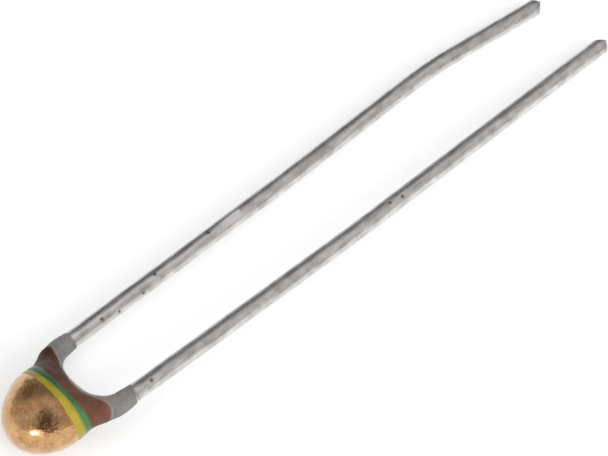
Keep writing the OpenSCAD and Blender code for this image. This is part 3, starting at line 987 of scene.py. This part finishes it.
def pale_floor():
    material, tree = stage_material("pale_floor")
    diffuse = add(tree, "BsdfDiffuse", {"Color": colour(235, 235, 235)})
    strength = spread(tree, seen_directly(tree), 0, FLOOR_GLOW)
    glow = add(tree, "Emission", {"Color": WHITE, "Strength": strength})
    surface = add(tree, "AddShader", {0: diffuse.outputs[0], 1: glow.outputs[0]})
    add(tree, "OutputMaterial", {"Surface": surface.outputs[0]})
    return material


def dim_room():
    """Dim all round and darker on one side: it only shows as what metal and gloss mirror."""
    material, tree = stage_material("dim_room")
    at = add(tree, "TexCoord").outputs["Object"]
    way = add(tree, "VectorMath", {0: at}, operation="NORMALIZE")
    dark_way = (cos(DARK_ELEVATION) * cos(DARK_AZIMUTH), cos(DARK_ELEVATION) * sin(DARK_AZIMUTH),
                sin(DARK_ELEVATION))
    facing = add(tree, "VectorMath", {0: way.outputs[0], 1: dark_way}, operation="DOT_PRODUCT")
    strength = spread(tree, facing.outputs["Value"], SHELL_NEAR, SHELL_FAR, DARK_FROM, DARK_FULL)
    glow = add(tree, "Emission", {"Color": WHITE, "Strength": strength})
    add(tree, "OutputMaterial", {"Surface": glow.outputs[0]})
    return material


def dark_card():
    material, tree = stage_material("dark_card")
    diffuse = add(tree, "BsdfDiffuse", {"Color": colour(30, 30, 32)})
    add(tree, "OutputMaterial", {"Surface": diffuse.outputs[0]})
    return material


def aim(azimuth, elevation, distance):
    """A place seen from the coated body."""
    flat = distance * cos(elevation)
    return Vector((BODY_X + flat * cos(azimuth), flat * sin(azimuth),
                   AIM_Z + distance * sin(elevation)))


def lamp(name, azimuth, elevation, distance, size, radiance, mirrored):
    """A square soft lamp that faces the body, as bright as a surface of that radiance."""
    data = bpy.data.lights.new(name, "AREA")
    data.size = size * MM
    data.energy = radiance * math.pi * data.size ** 2
    made = bpy.data.objects.new(name, data)
    bpy.context.scene.collection.objects.link(made)
    at = aim(azimuth, elevation, distance)
    made.location = at * MM
    made.rotation_mode = "QUATERNION"
    made.rotation_quaternion = (Vector((BODY_X, 0, 0)) - at).to_track_quat("-Z", "Y")
    made.visible_camera = False
    made.visible_glossy = mirrored


half_w = FLOOR_W / 2
floor_corners = [(-half_w, -half_w, 0), (half_w, -half_w, 0), (half_w, half_w, 0),
                 (-half_w, half_w, 0)]
on_stage("floor", flat_mesh("floor", floor_corners, [(0, 1, 2, 3)]), pale_floor())

world = bpy.data.worlds.new("studio")
bpy.context.scene.world = world
world.use_nodes = True
background = world.node_tree.nodes["Background"]
background.inputs["Color"].default_value = WHITE
world_strength = spread(world.node_tree, seen_directly(world.node_tree), WORLD_LIGHT, 1.0)
link(world.node_tree, world_strength, background, "Strength")

ball = bmesh.new()
bmesh.ops.create_uvsphere(ball, u_segments=48, v_segments=24, radius=SHELL_R)
room_mesh = bpy.data.meshes.new("room")
ball.to_mesh(room_mesh)
ball.free()
room = on_stage("room", room_mesh, dim_room())
room.visible_camera = False

for name, values in LAMPS.items():
    lamp(name, *values)

# A dark card beside the camera, as the camera itself shows in the gold
card_corners = [tuple(aim(azimuth, elevation, CARD_DISTANCE) * MM)
                for elevation in CARD_ELEVATIONS for azimuth in CARD_AZIMUTHS]
card_strips = [(k, k + 1, k + 3, k + 2) for k in range(0, len(card_corners) - 2, 2)]
card = on_stage("camera_card", flat_mesh("camera_card", card_corners, card_strips), dark_card())
card.visible_camera = False

CAMERA_AZIMUTH = 43.8026
CAMERA_DIP = 60.7808
CAMERA_ROLL = 0.5942
CAMERA_DISTANCE = 75.0666
CAMERA_AIM = (-0.3084, -0.1804, 0.5)
CAMERA_FOCUS_PX = 2192.15
PHOTO_W_PX = 608
SENSOR_W = 36.0

camera = bpy.data.objects.new("camera", bpy.data.cameras.new("camera"))
bpy.context.scene.collection.objects.link(camera)
camera.data.sensor_width = SENSOR_W
camera.data.lens = CAMERA_FOCUS_PX * SENSOR_W / PHOTO_W_PX
camera.data.clip_start = 0.005
camera.data.clip_end = 10.0
azimuth, dip, roll = map(math.radians, (CAMERA_AZIMUTH, CAMERA_DIP, CAMERA_ROLL))
level = Vector((math.cos(azimuth), -math.sin(azimuth), 0))
ahead = Vector((math.sin(azimuth), math.cos(azimuth), 0))
look = ahead * math.cos(dip) - Vector((0, 0, math.sin(dip)))
over = ahead * math.sin(dip) + Vector((0, 0, math.cos(dip)))
to_right = level * math.cos(roll) + over * math.sin(roll)
to_top = over * math.cos(roll) - level * math.sin(roll)
turn = Matrix((to_right, to_top, -look)).transposed().to_4x4()
camera.matrix_world = Matrix.Translation((Vector(CAMERA_AIM) - look * CAMERA_DISTANCE) * MM) @ turn
bpy.context.scene.camera = camera
bpy.context.scene.view_settings.view_transform = "Standard"
